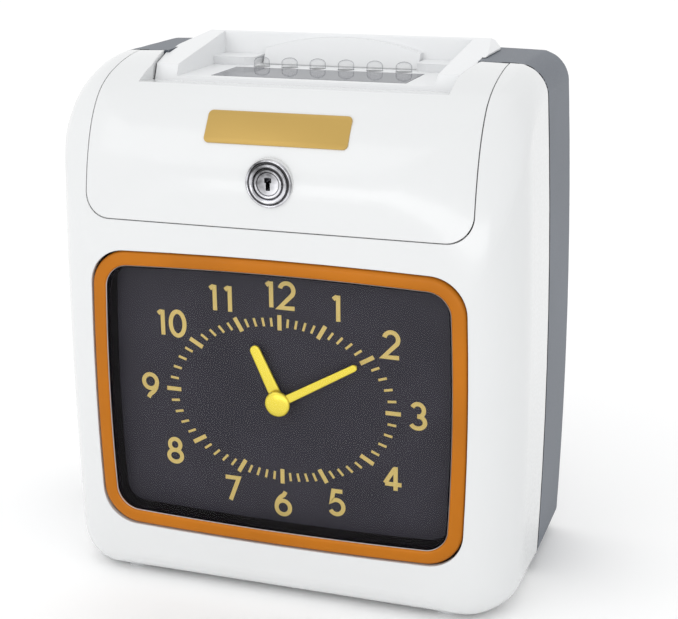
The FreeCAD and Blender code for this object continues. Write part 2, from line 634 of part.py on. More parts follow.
def make_lock():
    proud, flange, barrel, plug = (cell("lock_" + k) for k in ("proud", "flange", "barrel", "plug"))
    gap = cell("running_gap")
    turned("lock_barrel", [(plug + gap, -1.6), (plug + 1.6, -proud + 0.2), (flange - 1.2, -proud),
                           (flange, -1.4), (flange, -0.1), (barrel, -0.1), (barrel, 22), (plug + gap, 22)],
           "y", z="lock_height")
    core = rod("lock_plug", "25.7", "y", y="-1.5", z="lock_height")
    slot = join(box("2.2", "14", "6.4", y="-3", z="lock_height - 3.2"),
                box("3.6", "14", "2.4", y="-3", z="lock_height + 0.6"))
    node(cut(core, slot), "lock_plug")
    arm = rounded(box("34", "2", "9", x="10.5", y="24.2", z="lock_height - 4.5"), 2.0,
                  lambda e: runs_along(e, "y"))
    node(arm, "lock_cam")
    nut = body("lock_nut", y="7.4", z="lock_height")
    outline = sketch(nut, "y")
    circle(outline, "lock_barrel + 3.2")
    circle(outline, "lock_barrel + 0.05")
    pad(nut, outline, "3")


def make_hinge_hooks():
    """Curved hooks under the cover's two rear corners, which turn about the seam and hook the rear case."""
    hooks = []
    for sign in (-1, 1):
        axis = Vector(sign * 93.2 - 3, cell("seam_depth"), cell("case_top") - 0.2)
        ring = Part.makeCylinder(6.6, 6, axis, Vector(1, 0, 0)).cut(
            Part.makeCylinder(4.8, 6, axis, Vector(1, 0, 0)))
        lower = Part.makeBox(6, 11, 7.4, Vector(axis.x, axis.y - 7.4, axis.z - 12.0))
        hooks.append(solid(ring.common(lower), "Hook"))
    return node(group(*hooks), "hinge_hooks")


# ---------------------------------------------------------------- chassis

def make_chassis():
    base = body("chassis_base", y="76", z="6")
    outline = sketch(base, "z")
    rectangle(outline, "2 * frame_half + 6", "94")
    pad(base, outline, "sheet")
    profile = [(14.7, 7.6), (124, 7.6), (124, 232), (88, 232), (60, 205), (44, 190), (14.7, 190)]
    gap = "running_gap"
    sides = []
    for side, start in ((-1, "-frame_half"), (1, "frame_half - sheet")):
        plate = prism(profile, "x", start, "sheet")
        bores = [rod("guide_rod", "20", "x", "%d * frame_half - 10" % side, "rod_depth", height)
                 for height in ("rod_low", "rod_high")]
        bores += [rod("feed_shaft + " + gap, "20", "x", "%d * frame_half - 10" % side, "feed_depth",
                      "feed_height"),
                  rod("pinch_shaft + " + gap, "20", "x", "%d * frame_half - 10" % side, "pinch_depth",
                      "feed_height")]
        bores.append(rod("2.2", "20", "x", "%d * frame_half - 10" % side, "feed_depth",
                         "feed_height - 26 * feed_module"))
        sides.append(cut(plate, *bores))
    node(group(*sides), "chassis_sides")
    front = box("2 * frame_half + 6", "sheet", "166", y="13", z="24")
    node(cut(front, rod("dial_hole", "20", "y", y="5", z="dial_height")), "chassis_front")


def make_card_chute():
    """Two sheet plates with spacers between them, which lead the card down past the print head."""
    height = "guide_floor - 5.6 - 70"
    front = box("100", "1.2", height, y="99.7", z="70")
    spacers = [box("5", "5.7", height, x="%d * 47" % s, y="100.9", z="70") for s in (-1, 1)]
    print_window = box("90", "10", "14", y="95", z="belt_height - 7")
    roller_windows = [box("13", "10", "16", x="%d * 25" % s, y="95", z="feed_height - 8") for s in (-1, 1)]
    stop = box("90", "6.2", "3", y="100.4", z="70")
    node(cut(join(front, stop, *spacers), print_window, *roller_windows), "chute_front")
    rear = box("100", "1.2", height, y="106.7", z="70")
    windows = [box("90", "10", "14", y="102", z="belt_height - 7")]
    windows += [box("13", "10", "14", x="%d * 25" % s, y="102", z="feed_height - 7") for s in (-1, 1)]
    node(cut(rear, *windows), "chute_rear")
    node(group(box("88", "6.4", "11", y="105.2", z="belt_height - 5.5")), "platen")


def make_card_feed():
    shaft = rod("feed_shaft", "199.8", "x", "-97", "feed_depth", "feed_height")
    node(group(shaft), "feed_shaft")
    tyres = [cut(rod("feed_radius", "10", "x", "%d * 25 - 5" % s, "feed_depth", "feed_height"),
                 rod("feed_shaft", "20", "x", "%d * 25 - 10" % s, "feed_depth", "feed_height"))
             for s in (-1, 1)]
    node(group(*tyres), "feed_rollers")
    axle = rod("pinch_shaft", "194", "x", "-97", "pinch_depth", "feed_height")
    pinch = [cut(rod("pinch_radius", "10", "x", "%d * 25 - 5" % s, "pinch_depth", "feed_height"),
                 rod("pinch_shaft", "20", "x", "%d * 25 - 10" % s, "pinch_depth", "feed_height"))
             for s in (-1, 1)]
    node(group(axle, *pinch), "pinch_rollers")
    module = cell("feed_module")
    swing = module * (40 + 12) / 2
    stand = Rotation(Vector(0, 0, 1), -90)
    for label, teeth, tooth_at, bore, drop, x in (("feed_gear", 40, 0.0, cell("feed_shaft"), 0.0, 97.2),
                                                  ("feed_motor_pinion", 12, 15.0, 1.55, swing, 97.2)):
        shape = gear_shape(module, teeth, 4.0, bore, 90 + tooth_at)
        shape.Placement = FreeCAD.Placement(Vector(), stand)
        item = solid(shape, "FeedGear")
        item.Placement = FreeCAD.Placement(Vector(), stand)
        node(item, label, str(x), "feed_depth", "feed_height - %s" % drop)
    motor = join(rod("13", "22", "x", "69.8", "feed_depth", "feed_height - %s" % swing),
                 rod("1.5", "10", "x", "91.8", "feed_depth", "feed_height - %s" % swing))
    return motor


def make_printer():
    rods = [rod("guide_rod", "2 * frame_half", "x", "-frame_half", "rod_depth", height)
            for height in ("rod_low", "rod_high")]
    node(group(*rods), "guide_rods")
    block = join(box("36", "18", "38", y="rod_depth - 7", z="rod_low - 6.5"),
                 box("14", "1.8", "6", y="rod_depth - 8.6", z="belt_height - 3"))
    bores = [rod("guide_rod + running_gap", "60", "x", "-30", "rod_depth", height)
             for height in ("rod_low", "rod_high")]
    node(cut(block, *bores), "print_carriage")
    head = join(box("20", "13", "24", y="rod_depth + 11.1", z="belt_height - 12"),
                box("10", "2.5", "9", y="rod_depth + 24.1", z="belt_height - 4.5"))
    node(head, "print_head")
    belt = cut(join(box("2 * belt_half", "2 * (pulley_radius + 1.1)", "5", y="belt_depth - pulley_radius - 1.1",
                        z="belt_height - 2.5"),
                    *[rod("pulley_radius + 1.1", "5", "z", "%d * belt_half" % s, "belt_depth",
                          "belt_height - 2.5") for s in (-1, 1)]),
               join(box("2 * belt_half", "2 * (pulley_radius + 0.1)", "9", y="belt_depth - pulley_radius - 0.1",
                        z="belt_height - 4.5"),
                    *[rod("pulley_radius + 0.1", "9", "z", "%d * belt_half" % s, "belt_depth",
                          "belt_height - 4.5") for s in (-1, 1)]))
    node(belt, "carriage_belt")
    for label, sign in (("drive_pulley", -1), ("idler_pulley", 1)):
        turned(label, [(1.55, -3.4), (7.2, -3.4), (7.2, -2.7), (6.0, -2.7), (6.0, 2.7), (7.2, 2.7), (7.2, 3.4),
                       (1.55, 3.4)], "z", "%d * belt_half" % sign, "belt_depth", "belt_height")
    node(join(rod("12", "28", "z", "-belt_half", "belt_depth", "belt_height - 34"),
              rod("1.5", "9", "z", "-belt_half", "belt_depth", "belt_height - 6")), "carriage_motor")
    node(join(rod("1.5", "40", "z", "belt_half", "belt_depth", "belt_height - 36"),
              box("16", "16", "2", x="belt_half", y="belt_depth - 8", z="belt_height - 36")), "idler_post")


def make_ribbon():
    """The ink cartridge lies above the carriage; its arms hold the ribbon between head and card."""
    shell = join(box("128", "26", "12", y="70", z="176"),
                 *[box("8", "7.2", "36", x="%d * 56" % s, y="92", z="142") for s in (-1, 1)])
    ribbon = box("104", "0.3", "11", y="98.7", z="belt_height - 5.5")
    node(group(shell, ribbon), "ribbon_cartridge")
    turned("ribbon_knob", [(0, 0.2), (7, 0.2), (7, 1.2), (6.2, 1.6), (6.2, 6.4), (5.6, 7), (0, 7)], "z",
           "-48", "82", "188")


# ---------------------------------------------------------------- electrics

def make_electrics():
    board = box("168", "1.6", "160", y="119.4", z="35")
    spots = ((-60, 60, 24, 3, 24), (-10, 55, 30, 3, 10), (40, 62, 14, 6, 20), (62, 120, 10, 7, 26),
             (-62, 130, 12, 6, 12), (-20, 100, 8, 5, 8), (30, 120, 18, 4, 7), (-66, 176, 16, 6, 8))
    chips = [box(str(w), str(d), str(tall), x=str(x), y="119.35 - %s" % d, z=str(z))
             for x, z, w, d, tall in spots]
    buzzer = rod("8", "8", "y", x="0", y="111.35", z="182")
    node(group(board, buzzer, *chips), "main_board")
    node(join(box("46", "34", "40", x="-58", y="66", z="7.6"), box("30", "46", "28", x="-58", y="60", z="13")),
         "transformer")
    node(join(box("52", "17", "30", x="40", y="58", z="7.6"), box("6", "19", "8", x="40", y="57", z="12")),
         "backup_battery")
    inlet = join(box("20", "13", "12", x="78", y="case_depth - 13", z="22"),
                 box("24", "2", "16", x="78", y="case_depth - 4.7", z="20"))
    socket = cut(rod("4.2", "10", "y", x="78", y="case_depth - 9", z="28"),
                 rod("1.1", "12", "y", x="78", y="case_depth - 12", z="28"))
    node(cut(inlet, socket), "power_inlet")


# ---------------------------------------------------------------- fasteners and feet

def make_feet():
    feet = [rod("foot_radius", "foot_top", "z", "%d * foot_half" % s, depth, "0")
            for s in (-1, 1) for depth in ("foot_front", "foot_back")]
    node(group(*feet), "feet")


def make_screws():
    screws = [join(a, b) for a, b in zip(bosses("3.1", "case_depth - 2.9", "2.2"),
                                         bosses("1.55", "52", "case_depth - 54.9"))]
    node(group(*screws), "case_screws")


def build():
    shell = front_shell()
    make_front_body(shell)
    make_latch_sill()
    make_top_cover(shell)
    make_rear_case()
    make_card_guide()
    make_buttons()
    make_display()
    make_clock_face()
    make_hands()
    make_movement()
    make_lock()
    make_hinge_hooks()
    make_chassis()
    make_card_chute()
    node(make_card_feed(), "feed_motor")
    make_printer()
    make_ribbon()
    make_electrics()
    make_feet()
    make_screws()
    doc.recompute()


def check_and_write():
    for item in doc.Objects:
        if "Invalid" in item.State or "Error" in item.State:
            raise RuntimeError("%s (%s) failed: %s" % (item.Name, item.Label, item.State))
    for item in NODES:
        if item.Shape.isNull() or not item.Shape.isValid():
            raise RuntimeError("%s has no valid shape" % item.Label)
    os.makedirs("parts", exist_ok=True)
    for item in NODES:
        item.Shape.exportStep(os.path.join("parts", item.Label + ".step"))
        print("%-20s %8.1f mm3  solids %d" % (item.Label, item.Shape.Volume, len(item.Shape.Solids)))


build()
check_and_write()
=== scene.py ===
import json
import math
import bmesh
import bpy
from mathutils import Matrix, Vector


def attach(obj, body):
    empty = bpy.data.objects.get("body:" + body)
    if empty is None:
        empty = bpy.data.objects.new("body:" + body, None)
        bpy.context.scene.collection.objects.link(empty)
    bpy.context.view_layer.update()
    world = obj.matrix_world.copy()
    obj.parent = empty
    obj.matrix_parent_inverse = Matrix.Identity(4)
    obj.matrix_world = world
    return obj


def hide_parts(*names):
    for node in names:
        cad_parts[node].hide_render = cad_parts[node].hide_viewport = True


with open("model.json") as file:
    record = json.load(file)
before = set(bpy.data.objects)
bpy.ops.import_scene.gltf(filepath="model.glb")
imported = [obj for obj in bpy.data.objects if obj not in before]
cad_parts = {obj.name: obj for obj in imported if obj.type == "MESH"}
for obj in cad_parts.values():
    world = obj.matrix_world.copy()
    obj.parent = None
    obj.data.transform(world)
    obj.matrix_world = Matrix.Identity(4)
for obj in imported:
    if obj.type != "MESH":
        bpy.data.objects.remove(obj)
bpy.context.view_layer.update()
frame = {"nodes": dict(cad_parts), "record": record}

# Punch time clock.  Sizes are in millimetres, with depths measured back from the flat front face
# and heights from the table, as on the CAD drawing; at() turns them into metres in the row's frame.

MM = 0.001
FRONT = -64.8
CASE_TOP = 275.5
BROW_RADIUS, CROWN_RADIUS, CROWN_DEPTH = 57.0, 120.0, 78.0
DIAL_HEIGHT, DIAL_DEPTH = 107.0, 10.4
LOCK_HEIGHT = 221.9

# Angle in degrees above which an edge is shaded sharp.
SHARP, SHARP_FRAME, SHARP_CAP, SHARP_TURNED, SHARP_PRINT = 35.0, 40.0, 45.0, 50.0, 60.0


def at(x, depth, height):
    return Vector((x * MM, (depth + FRONT) * MM, height * MM))


# ---------------------------------------------------------------- materials

BEVEL_SAMPLES = 4
BEVEL_DOT_WORN, BEVEL_DOT_FLAT = 0.75, 0.99     # rounded normal against plain, on edges and off
NOISE_LOW, NOISE_HIGH = 0.3, 0.7                # the part of a noise's range with its detail
PATCH_DETAIL = 3.0                              # noise detail of blotches and worn patches
WEAR_SCALE, WEAR_LOW, WEAR_HIGH = 160.0, 0.35, 0.75
SMEAR_SCALE, SMEAR_SPREAD = 60.0, 0.3           # unevenness in the gloss of clear mouldings
MIRROR_AT_SLANT = 0.9


class Tree:
    """Short calls for the few shader nodes that the finishes share."""

    def __init__(self, name):
        self.material = bpy.data.materials.new(name)
        self.material.use_nodes = True
        self.tree = self.material.node_tree
        self.shader = self.tree.nodes["Principled BSDF"]
        self.where = self.tree.nodes.new("ShaderNodeTexCoord").outputs["Object"]

    def link(self, source, target):
        self.tree.links.new(source, target)

    def noise(self, scale, detail=2.0, stretch=None):
        node = self.tree.nodes.new("ShaderNodeTexNoise")
        node.inputs["Scale"].default_value = scale
        node.inputs["Detail"].default_value = detail
        source = self.where
        if stretch:
            mapping = self.tree.nodes.new("ShaderNodeMapping")
            mapping.inputs["Scale"].default_value = stretch
            self.link(source, mapping.inputs["Vector"])
            source = mapping.outputs["Vector"]
        self.link(source, node.inputs["Vector"])
        return node.outputs["Fac"]

    def span(self, source, low, high, start=0.0, stop=1.0):
        node = self.tree.nodes.new("ShaderNodeMapRange")
        self.link(source, node.inputs["Value"])
        for name, value in (("From Min", start), ("From Max", stop),
                            ("To Min", low), ("To Max", high)):
            node.inputs[name].default_value = value
        return node.outputs["Result"]

    def mix(self, share, first, second):
        """A colour between first and second; the node's colours are its sockets 6, 7 and 2."""
        node = self.tree.nodes.new("ShaderNodeMix")
        node.data_type = "RGBA"
        self.link(share, node.inputs[0])
        for value, socket in ((first, node.inputs[6]), (second, node.inputs[7])):
            if isinstance(value, tuple):
                socket.default_value = (*value, 1.0)
            else:
                self.link(value, socket)
        return node.outputs[2]

    def math(self, kind, first, second):
        node = self.tree.nodes.new("ShaderNodeMath")
        node.operation = kind
        self.link(first, node.inputs[0])
        if isinstance(second, float):
            node.inputs[1].default_value = second
        else:
            self.link(second, node.inputs[1])
        return node.outputs[0]

    def edges(self, radius):
        """1 on sharp edges and 0 elsewhere, and a normal that rounds those edges off."""
        bevel = self.tree.nodes.new("ShaderNodeBevel")
        bevel.samples = BEVEL_SAMPLES
        bevel.inputs["Radius"].default_value = radius
        plain = self.tree.nodes.new("ShaderNodeNewGeometry")
        dot = self.tree.nodes.new("ShaderNodeVectorMath")
        dot.operation = "DOT_PRODUCT"
        self.link(bevel.outputs["Normal"], dot.inputs[0])
        self.link(plain.outputs["Normal"], dot.inputs[1])
        mask = self.span(dot.outputs["Value"], 1.0, 0.0, BEVEL_DOT_WORN, BEVEL_DOT_FLAT)
        return mask, bevel.outputs["Normal"]

    def bump(self, height, strength, distance, normal):
        node = self.tree.nodes.new("ShaderNodeBump")
        node.inputs["Strength"].default_value = strength
        node.inputs["Distance"].default_value = distance
        self.link(height, node.inputs["Height"])
        self.link(normal, node.inputs["Normal"])
        return node.outputs["Normal"]


def shade(colour, factor):
    return tuple(min(c * factor, 1.0) for c in colour)


def finish(name, colour, rough, metal=0.0, spread=0.04, grain=900.0, grain_depth=0.00001,
           grain_strength=0.3, coat=0.0, coat_rough=0.05, stretch=None, worn=None, edge=0.0004,
           specular=0.5, rough_spread=0.05, blotch=14.0):
    """A moulded, painted or machined surface: faint blotches (on chrome, wide ones that are painted
    reflection), a fine grain, soft and worn edges.
    """
    t = Tree(name)
    broad = t.noise(blotch, PATCH_DETAIL)
    fine = t.noise(grain, stretch=stretch)
    edge_mask, rounded = t.edges(edge)
    tone = t.mix(t.span(broad, 0.0, 1.0, NOISE_LOW, NOISE_HIGH),
                 shade(colour, 1 - spread), shade(colour, 1 + spread))
    if worn:
        patches = t.span(t.noise(WEAR_SCALE, PATCH_DETAIL), 0.0, 1.0, WEAR_LOW, WEAR_HIGH)
        tone = t.mix(t.math("MULTIPLY", edge_mask, patches), tone, worn)
    t.link(tone, t.shader.inputs["Base Color"])
    t.link(t.span(fine, rough - rough_spread, rough + rough_spread, NOISE_LOW, NOISE_HIGH),
           t.shader.inputs["Roughness"])
    t.link(t.bump(fine, grain_strength, grain_depth, rounded), t.shader.inputs["Normal"])
    t.shader.inputs["Metallic"].default_value = metal
    t.shader.inputs["Specular IOR Level"].default_value = specular
    t.shader.inputs["Coat Weight"].default_value = coat
    t.shader.inputs["Coat Roughness"].default_value = coat_rough
    return t.material


def clear(name, tint, rough, mirror, gloss=(1.0, 1.0, 1.0), falloff=5.0):
    """Clear moulding: mirror-like where it is seen at a slant, and see-through from the front."""
    t = Tree(name)
    glossy = t.tree.nodes.new("ShaderNodeBsdfGlossy")
    t.link(t.span(t.noise(SMEAR_SCALE), rough * (1 - SMEAR_SPREAD), rough * (1 + SMEAR_SPREAD),
                  NOISE_LOW, NOISE_HIGH), glossy.inputs["Roughness"])
    glossy.inputs["Color"].default_value = (*gloss, 1.0)
    through = t.tree.nodes.new("ShaderNodeBsdfTransparent")
    through.inputs["Color"].default_value = (*tint, 1.0)
    facing = t.tree.nodes.new("ShaderNodeLayerWeight").outputs["Facing"]
    slant = t.math("POWER", facing, falloff)
    blend = t.tree.nodes.new("ShaderNodeMixShader")
    t.link(t.span(slant, mirror, MIRROR_AT_SLANT), blend.inputs["Fac"])
    t.link(through.outputs["BSDF"], blend.inputs[1])
    t.link(glossy.outputs["BSDF"], blend.inputs[2])
    output = t.tree.nodes["Material Output"]
    t.link(blend.outputs["Shader"], output.inputs["Surface"])
    return t.material


FINISHES = {
    "white_shell": finish(
        "white_shell", (0.66, 0.67, 0.675), 0.22, grain=700.0, coat=0.25, spread=0.008,
        grain_depth=0.000004, grain_strength=0.1, worn=(0.70, 0.69, 0.66), edge=0.0005),
    "grey_shell": finish(
        "grey_shell", (0.112, 0.127, 0.152), 0.45, metal=0.05, grain=2200.0, spread=0.06,
        specular=0.2, grain_depth=0.00002, grain_strength=0.3, worn=(0.40, 0.41, 0.42),
        edge=0.0006),
    "guide_white": finish(
        "guide_white", (0.73, 0.74, 0.75), 0.35, grain=900.0, spread=0.008, rough_spread=0.01,
        grain_depth=0.000001, grain_strength=0.05, edge=0.0004),
    "bezel_bronze": finish(
        "bezel_bronze", (0.43, 0.135, 0.004), 0.38, metal=0.2, grain=1500.0, spread=0.08,
        coat=0.08, coat_rough=0.12, worn=(0.66, 0.36, 0.12), edge=0.0006, blotch=22.0,
        grain_depth=0.000005, grain_strength=0.1, specular=0.15),
    "clear_pane": clear("clear_pane", (0.97, 0.97, 0.98), 0.03, 0.004),
    "smoked_window": finish(
        "smoked_window", (0.105, 0.108, 0.125), 0.06, spread=0.15, grain_strength=0.05,
        edge=0.0003, specular=0.35, rough_spread=0.02),
    "clear_button": clear(
        "clear_button", (0.99, 0.99, 0.99), 0.06, 0.015, gloss=(0.30, 0.31, 0.34), falloff=3.5),
    "dial_black": finish(
        "dial_black", (0.027, 0.025, 0.033), 0.6, grain=2400.0, spread=0.12, blotch=26.0,
        grain_depth=0.000004, grain_strength=0.1, specular=0.2),
    "dial_print": finish(
        "dial_print", (0.60, 0.45, 0.13), 0.45, metal=0.1, spread=0.06, grain=1500.0),
    "liner_black": finish("liner_black", (0.004, 0.003, 0.004), 0.8, spread=0.1, specular=0.05),
    "hand_gold": finish(
        "hand_gold", (0.88, 0.72, 0.07), 0.22, metal=0.55, spread=0.05, grain=700.0,
        grain_depth=0.000002, grain_strength=0.05, edge=0.0012),
    "plaque_gold": finish(
        "plaque_gold", (0.46, 0.30, 0.08), 0.34, metal=0.5, spread=0.05, grain=1600.0,
        stretch=(1.0, 14.0, 14.0), worn=(0.75, 0.60, 0.28), edge=0.0003),
    # On chrome the wide spread and coarse blotches paint dark and light streaks of reflection into
    # the base colour.
    "chrome": finish(
        "chrome", (0.42, 0.42, 0.44), 0.10, metal=1.0, spread=0.85, grain=1800.0, edge=0.0003,
        grain_depth=0.000003, grain_strength=0.1, worn=(0.92, 0.92, 0.92), rough_spread=0.04,
        blotch=95.0),
    "zinc_steel": finish(
        "zinc_steel", (0.50, 0.51, 0.52), 0.36, metal=1.0, spread=0.12, grain=300.0,
        stretch=(1.0, 1.0, 12.0), worn=(0.68, 0.68, 0.68), blotch=40.0),
    "brass_gear": finish(
        "brass_gear", (0.62, 0.42, 0.14), 0.3, metal=1.0, spread=0.1, grain=900.0,
        worn=(0.85, 0.68, 0.35)),
    "white_gear": finish(
        "white_gear", (0.72, 0.71, 0.66), 0.4, spread=0.03, worn=(0.6, 0.58, 0.52)),
    "black_plastic": finish(
        "black_plastic", (0.03, 0.03, 0.032), 0.45, spread=0.15, grain=1500.0,
        grain_strength=0.4, worn=(0.09, 0.09, 0.09)),
    "rubber_black": finish(
        "rubber_black", (0.035, 0.034, 0.033), 0.75, spread=0.2, grain=1800.0,
        grain_depth=0.00008, grain_strength=0.6, worn=(0.10, 0.10, 0.095)),
    "foot_rubber": finish(
        "foot_rubber", (0.55, 0.56, 0.57), 0.7, spread=0.05, grain=1500.0,
        grain_depth=0.00005, grain_strength=0.5),
    "board_green": finish(
        "board_green", (0.02, 0.13, 0.05), 0.35, spread=0.15, coat=0.4, blotch=60.0,
        worn=(0.30, 0.30, 0.12)),
    "lamination": finish(
        "lamination", (0.10, 0.10, 0.11), 0.45, metal=0.6, spread=0.2, grain=500.0,
        stretch=(0.3, 9.0, 0.3), grain_depth=0.0001, grain_strength=0.7,
        worn=(0.30, 0.28, 0.26)),
    "battery_blue": finish(
        "battery_blue", (0.03, 0.10, 0.30), 0.25, coat=0.5, spread=0.08, worn=(0.12, 0.2, 0.4)),
    "cast_grey": finish(
        "cast_grey", (0.40, 0.41, 0.42), 0.45, metal=0.9, spread=0.1, grain=1100.0,
        grain_depth=0.00008, grain_strength=0.6, worn=(0.60, 0.60, 0.60)),
}

NODE_SLOT = {part["node"]: part["material_slot"] for part in frame["record"]["subparts"]}
for name, item in frame["nodes"].items():
    item.data.materials.clear()
    item.data.materials.append(FINISHES[NODE_SLOT[name]])


# ---------------------------------------------------------------- building blocks

SAME_POINT = 1e-7


def add_mesh(name, verts, faces, slot, body, smooth=SHARP):
    """A finished piece from points in metres: it rides on body and takes its finish from slot."""
    mesh = bpy.data.meshes.new(name)
    mesh.from_pydata([tuple(v) for v in verts], [], faces)
    mesh.validate()
    work = bmesh.new()
    work.from_mesh(mesh)
    bmesh.ops.remove_doubles(work, verts=work.verts, dist=SAME_POINT)
    bmesh.ops.recalc_face_normals(work, faces=work.faces)
    work.to_mesh(mesh)
    work.free()
    mesh.shade_smooth()
    mesh.set_sharp_from_angle(angle=math.radians(smooth))
    mesh.materials.append(FINISHES[slot])
    item = bpy.data.objects.new(name, mesh)
    bpy.context.scene.collection.objects.link(item)
    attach(item, body)
    return item


def tube_faces(rings, count, closed):
    """Quads between rings of count points; closed joins the last ring to the first."""
    faces = []
    for i in range(rings if closed else rings - 1):
        j = (i + 1) % rings
        for k in range(count):
            n = (k + 1) % count
            faces.append((i * count + k, i * count + n, j * count + n, j * count + k))
    return faces


def swept(name, sections, slot, body, smooth=SHARP, ring=True):
    """A tube of quads through closed sections of equal length; ring joins its two ends."""
    count = len(sections[0])
    verts = [point for part in sections for point in part]
    faces = tube_faces(len(sections), count, ring)
    if not ring:
        faces += [tuple(range(count)), tuple(range(len(verts) - count, len(verts)))]
    return add_mesh(name, verts, faces, slot, body, smooth)


def lathed(name, profile, height, slot, body, steps=96, smooth=SHARP_TURNED):
    """Turned about a front-to-back axis at x = 0.  The profile is (radius, depth), all round."""
    sections = []
    for i in range(steps):
        turn = 2 * math.pi * i / steps
        sections.append([at(r * math.cos(turn), depth, height + r * math.sin(turn))
                         for r, depth in profile])
    return swept(name, sections, slot, body, smooth)


def arc(cx, cy, rx, ry, start, stop, steps):
    """Points on an ellipse from start to stop, in degrees counter-clockwise from +x."""
    turns = [math.radians(start + (stop - start) * i / steps) for i in range(steps + 1)]
    return [(cx + rx * math.cos(t), cy + ry * math.sin(t)) for t in turns]


def between(start, goal, steps):
    """Evenly spaced points of a straight line, without its two ends."""
    return [(start[0] + (goal[0] - start[0]) * k / steps,
             start[1] + (goal[1] - start[1]) * k / steps) for k in range(1, steps)]


# ---------------------------------------------------------------- dial printing

# Strokes of the numerals in units of their height, x to the right from the left edge, y up from
# the foot.
DIGITS = {
    "0": [arc(0.30, 0.5, 0.30, 0.5, 90, 450, 28)],
    "1": [[(0.10, 0.86), (0.26, 0.98)], [(0.30, 1.02), (0.30, -0.02)]],
    "2": [arc(0.30, 0.71, 0.28, 0.29, 165, -38, 18) + [(0.0, 0.0), (0.62, 0.0)]],
    "3": [arc(0.28, 0.74, 0.24, 0.26, 155, -90, 18), arc(0.28, 0.25, 0.29, 0.25, 95, -155, 18)],
    "4": [[(0.70, 0.26), (0.03, 0.26)], [(0.03, 0.28), (0.42, 0.93)], [(0.46, 1.0), (0.46, 0.0)]],
    "5": [[(0.54, 1.0), (0.16, 1.0), (0.09, 0.55)] + arc(0.29, 0.31, 0.29, 0.31, 115, -150, 18)],
    "6": [arc(0.31, 0.30, 0.29, 0.30, 90, 450, 26),
          [(0.42, 1.0)] + arc(0.62, 0.30, 0.60, 0.62, 118, 180, 8)],
    "7": [[(0.0, 1.0), (0.58, 1.0), (0.20, 0.0)]],
    "8": [arc(0.30, 0.755, 0.235, 0.245, 90, 450, 24), arc(0.30, 0.26, 0.29, 0.26, 90, 450, 26)],
    "9": [arc(0.31, 0.70, 0.29, 0.30, 90, 450, 26),
          [(0.20, 0.0)] + arc(0.0, 0.70, 0.60, 0.62, -62, 0, 8)],
}
DIGIT_WIDTH, NARROW_DIGITS = 0.6, {"1": 0.34}
NUMERAL_TALL, DIGIT_GAP, STROKE = 12.9, 3.9, 2.25
NUMERAL_PLACES = {12: (0.0, 56.2), 1: (29.5, 52.0), 2: (58.4, 35.9), 3: (72.6, 0.1),
                  4: (59.0, -35.0), 5: (29.6, -52.5), 6: (0.0, -56.8), 7: (-28.2, -52.6),
                  8: (-60.5, -34.9), 9: (-73.3, 0.0), 10: (-60.3, 35.9), 11: (-32.4, 51.8)}
TICK_RX, TICK_RZ = 59.65, 41.74
HOUR_TICK, MINUTE_TICK = (4.0, 2.2), (2.25, 1.25)     # half length and width

# Strokes that cross are printed a hair apart in thickness, so that their faces don't coincide.
INK, OVERPRINT, OVERPRINT_LAYERS = 0.12, 0.012, 5
MITRE_LIMIT, CLOSED_WITHIN = 0.45, 1e-6


def ribbon(line, width):
    """Left and right edge of a stroke of even width along a line, mitred at its corners."""
    closed = math.dist(line[0], line[-1]) < CLOSED_WITHIN
    points = [Vector(p) for p in (line[:-1] if closed else line)]
    left, right = [], []
    for i, point in enumerate(points):
        before = points[i - 1] if closed or i else None
        after = points[(i + 1) % len(points)] if closed or i < len(points) - 1 else None
        into = ((point - before) if before is not None else (after - point)).normalized()
        out = (after - point).normalized() if after is not None else into
        across = Vector((-(into.y + out.y), into.x + out.x)).normalized()
        reach = width / 2 / max(across.dot(Vector((-out.y, out.x))), MITRE_LIMIT)
        left.append(point + across * reach)
        right.append(point - across * reach)
    return left, right, closed


def printed(name, strokes, depth, slot, body):
    """Strokes raised from the dial by the ink. Each is (line of (x, z) points, width)."""
    verts, faces = [], []
    for order, (line, width) in enumerate(strokes):
        left, right, closed = ribbon(line, width)
        base, count = len(verts), len(left)
        for near in (depth - INK - OVERPRINT * (order % OVERPRINT_LAYERS), depth):
            verts += [at(p.x, near, p.y) for p in left] + [at(p.x, near, p.y) for p in right]
        far = base + 2 * count
        last = count if closed else count - 1
        for i in range(last):
            j = (i + 1) % count
            faces.append((base + i, base + j, base + count + j, base + count + i))
            faces.append((far + i, far + count + i, far + count + j, far + j))
            faces.append((base + i, far + i, far + j, base + j))
            faces.append((base + count + i, base + count + j, far + count + j, far + count + i))
        if not closed:
            for i in (0, count - 1):
                faces.append((base + i, base + count + i, far + count + i, far + i))
    add_mesh(name, verts, faces, slot, body, SHARP_PRINT)


def numeral(number, x, z):
    """The strokes of a number centred on (x, z)."""
    digits = str(number)
    widths = [NARROW_DIGITS.get(d, DIGIT_WIDTH) * NUMERAL_TALL for d in digits]
    start = x - (sum(widths) + DIGIT_GAP * (len(digits) - 1)) / 2
    strokes = []
    for digit, width in zip(digits, widths):
        for line in DIGITS[digit]:
            strokes.append(([(start + a * NUMERAL_TALL, z + (b - 0.5) * NUMERAL_TALL)
                             for a, b in line], STROKE))
        start += width + DIGIT_GAP
    return strokes


def make_dial_print():
    """The twelve numerals, and an oval track of sixty marks that point at the arbor."""
    for number, (x, z) in NUMERAL_PLACES.items():
        printed("numeral_%d" % number, numeral(number, x, DIAL_HEIGHT + z), DIAL_DEPTH,
                "dial_print", "case")
    ticks = []
    for minute in range(60):
        turn = math.radians(6 * minute)
        across, up = math.sin(turn), math.cos(turn)
        reach = 1 / math.hypot(across / TICK_RX, up / TICK_RZ)
        half, width = HOUR_TICK if minute % 5 == 0 else MINUTE_TICK
        ticks.append(([((reach + s * half) * across, DIAL_HEIGHT + (reach + s * half) * up)
                       for s in (-1, 1)], width))
    printed("minute_track", ticks, DIAL_DEPTH, "dial_print", "case")


# ---------------------------------------------------------------- bezel

